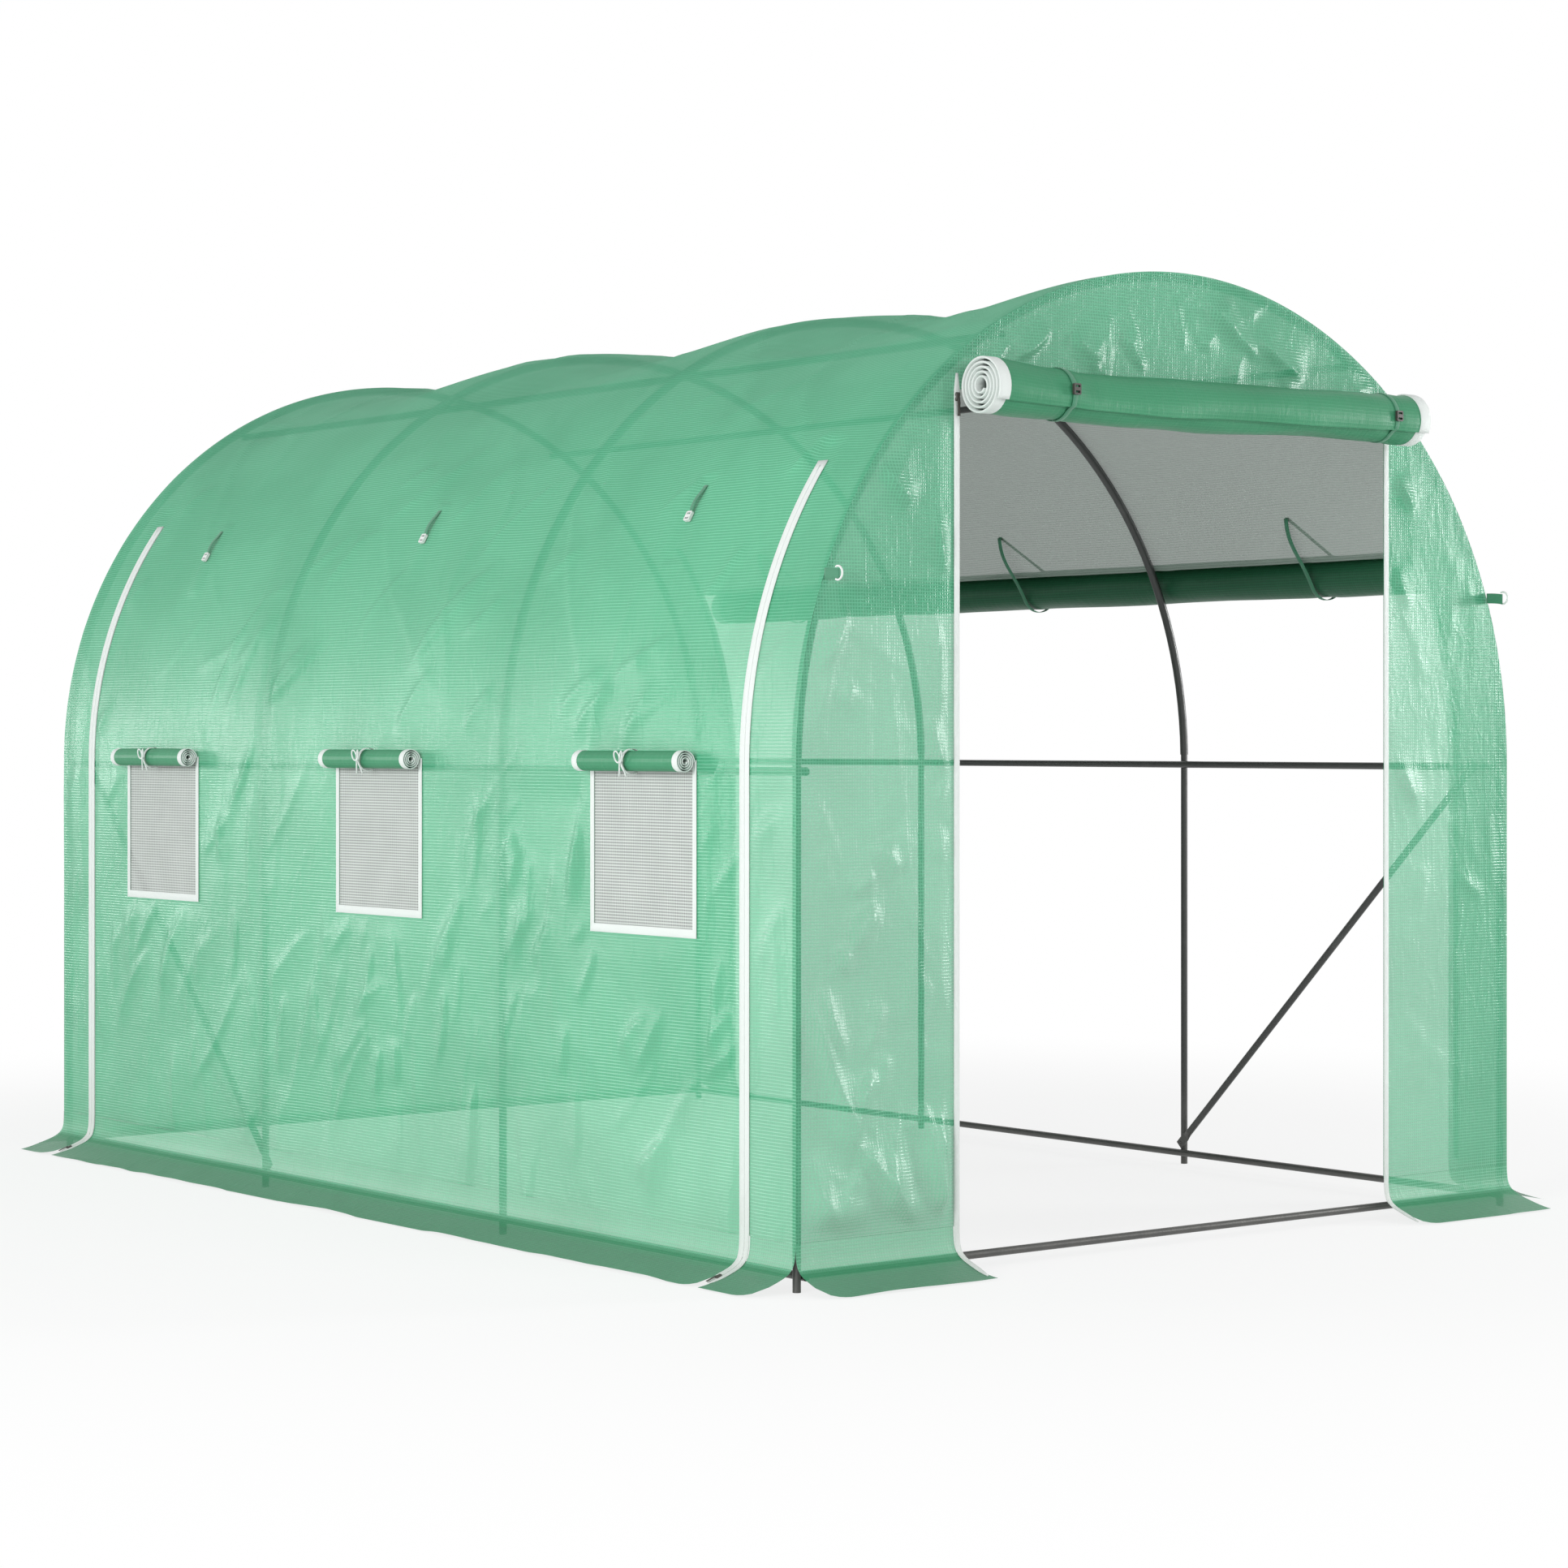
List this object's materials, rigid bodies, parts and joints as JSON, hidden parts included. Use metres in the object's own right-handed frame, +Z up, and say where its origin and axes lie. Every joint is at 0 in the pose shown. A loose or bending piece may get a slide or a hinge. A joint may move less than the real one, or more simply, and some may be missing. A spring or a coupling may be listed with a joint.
{
  "type": "walk-in polytunnel greenhouse",
  "caption": "Walk-in tunnel greenhouse: round-topped steel hoops under a green woven cover, with a rolled-up door, one rolled-up side, net windows and ground skirts.",
  "frame": {"origin": "on the floor, at the middle of the hoop frame's plan", "axes": "+Z up, +Y along the tunnel towards the closed back end, the doorway faces -Y"},
  "size_m": [2.2156, 3.2111, 1.9793],
  "materials": {
    "frame_steel": "satin dark grey coating on round steel tube",
    "cover_cloth": "green woven polyethylene film, translucent, slightly glossy",
    "white_tape": "white woven zip and binding tape",
    "window_net": "pale fine insect net",
    "green_webbing": "matt green webbing",
    "dark_plastic": "dark moulded plastic",
    "white_plastic": "white moulded plastic"
  },
  "bodies": {
    "root": {"front_hoop_arch": "frame_steel", "front_hoop_legs": "frame_steel", "second_hoop_arch": "frame_steel", "second_hoop_legs": "frame_steel", "third_hoop_arch": "frame_steel", "third_hoop_legs": "frame_steel", "back_hoop_arch": "frame_steel", "back_hoop_legs": "frame_steel", "left_purlin": "frame_steel", "right_purlin": "frame_steel", "left_mid_rail": "frame_steel", "right_mid_rail": "frame_steel", "left_ground_rail": "frame_steel", "right_ground_rail": "frame_steel", "front_ground_rail": "frame_steel", "back_ground_rail": "frame_steel", "left_brace": "frame_steel", "right_brace": "frame_steel", "roof_cover": "cover_cloth", "left_curtain": "cover_cloth", "right_header": "cover_cloth", "left_front_strip": "cover_cloth", "left_back_strip": "cover_cloth", "right_front_strip": "cover_cloth", "right_back_strip": "cover_cloth", "front_gable": "cover_cloth", "front_left_panel": "cover_cloth", "front_right_panel": "cover_cloth", "back_panel": "cover_cloth", "left_skirt": "cover_cloth", "strip_skirts": "cover_cloth", "front_skirts": "cover_cloth", "back_skirt": "cover_cloth", "door_roll": "cover_cloth", "right_curtain_roll": "cover_cloth", "window_flap_rolls": "cover_cloth", "hook_tabs": "cover_cloth", "window_frames": "white_tape", "window_ties": "white_tape", "side_zip_tapes": "white_tape", "door_zip_tapes": "white_tape", "window_nets": "window_net", "door_roll_straps": "green_webbing", "curtain_roll_straps": "green_webbing", "left_wall_straps": "green_webbing", "door_roll_buckles": "dark_plastic", "left_wall_buckles": "white_plastic", "hooks": "white_plastic"}
  },
  "joints": []
}
